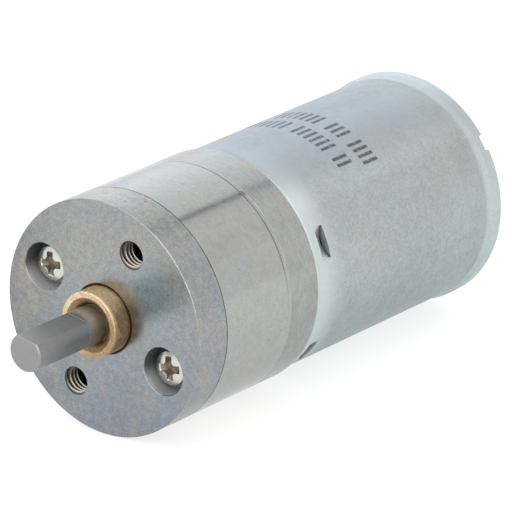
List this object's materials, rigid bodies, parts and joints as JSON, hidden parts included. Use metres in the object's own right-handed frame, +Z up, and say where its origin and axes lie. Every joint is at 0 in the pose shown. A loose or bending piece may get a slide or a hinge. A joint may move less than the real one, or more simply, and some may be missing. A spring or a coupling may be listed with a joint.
{
  "type": "geared dc motor",
  "caption": "Round geared DC motor: metal spur gearbox with a D output shaft in a bronze bush and a threaded mounting face, on a carbon-brush motor can.",
  "frame": {"origin": "centre of the gearbox's front face, on the output shaft's axis", "axes": "-Y along the output shaft, out of the gearbox; +Y to the motor's rear; +Z up"},
  "size_m": [0.025, 0.0671, 0.025],
  "materials": {
    "plate_zinc": "satin machined face",
    "ring_steel": "turned, matt",
    "can_galvanized": "fine satin galvanized sheet",
    "sintered_bronze": "porous sintered bronze",
    "shaft_steel": "ground",
    "screw_nickel": "nickel plated",
    "gear_steel": "hobbed",
    "gear_brass": "hobbed",
    "washer_brass": "stamped",
    "magnet_ferrite": "matt ferrite",
    "spring_steel": "spring temper",
    "cap_nylon": "moulded nylon",
    "terminal_brass": "tinned at the hole",
    "copper": "copper",
    "enamelled_copper": "enamelled wire",
    "carbon": "pressed graphite",
    "core_iron": "stacked laminations",
    "insulator_fibre": "moulded insulator",
    "hub_phenolic": "moulded phenolic",
    "varistor_ceramic": "fired ceramic",
    "washer_nylon": "moulded nylon"
  },
  "bodies": {
    "housing": {"front_plate": "plate_zinc", "output_bush": "sintered_bronze", "gear_case": "ring_steel", "rear_plate": "ring_steel", "case_screws": "screw_nickel", "motor_screws": "screw_nickel", "gear_pins": "gear_steel", "pin_washers": "washer_brass", "motor_can": "can_galvanized", "front_bearing": "sintered_bronze", "magnets": "magnet_ferrite", "magnet_springs": "spring_steel", "end_cap": "cap_nylon", "rear_bearing": "sintered_bronze", "terminals": "terminal_brass", "brush_arms": "copper", "carbon_brushes": "carbon"},
    "rotor": {"rotor_shaft": "shaft_steel", "motor_pinion": "gear_brass", "rotor_core": "core_iron", "rotor_insulators": "insulator_fibre", "windings": "enamelled_copper", "commutator_hub": "hub_phenolic", "commutator_segments": "copper", "varistor_ring": "varistor_ceramic", "rotor_washers": "washer_nylon"},
    "gear_1": {"gear_1_wheel": "gear_brass", "gear_1_pinion": "gear_steel"},
    "gear_2": {"gear_2_wheel": "gear_brass", "gear_2_pinion": "gear_steel"},
    "gear_3": {"gear_3_wheel": "gear_brass", "gear_3_pinion": "gear_steel"},
    "output": {"output_gear": "gear_steel", "output_washer": "gear_steel", "output_shaft": "shaft_steel"}
  },
  "joints": [
    {"name": "rotor_spin", "type": "hinge", "parent": "housing", "child": "rotor", "pos_m": [0, 0, 0], "axis": [0, -1, 0], "continuous": true},
    {"name": "gear_1_spin", "type": "hinge", "parent": "housing", "child": "gear_1", "pos_m": [0.00534, 0, 0.00353], "axis": [0, -1, 0], "continuous": true},
    {"name": "gear_2_spin", "type": "hinge", "parent": "housing", "child": "gear_2", "pos_m": [-0.00039, 0, 0.00639], "axis": [0, -1, 0], "continuous": true},
    {"name": "gear_3_spin", "type": "hinge", "parent": "housing", "child": "gear_3", "pos_m": [0.00534, 0, 0.00353], "axis": [0, -1, 0], "continuous": true},
    {"name": "output_spin", "type": "hinge", "parent": "housing", "child": "output", "pos_m": [0, 0, 0], "axis": [0, -1, 0], "continuous": true}
  ],
  "couplings": [
    {"joint": "gear_3_spin", "follows": "output_spin", "ratio": -2.3},
    {"joint": "gear_2_spin", "follows": "output_spin", "ratio": 5.06},
    {"joint": "gear_1_spin", "follows": "output_spin", "ratio": -11.132},
    {"joint": "rotor_spin", "follows": "output_spin", "ratio": 20.409}
  ]
}
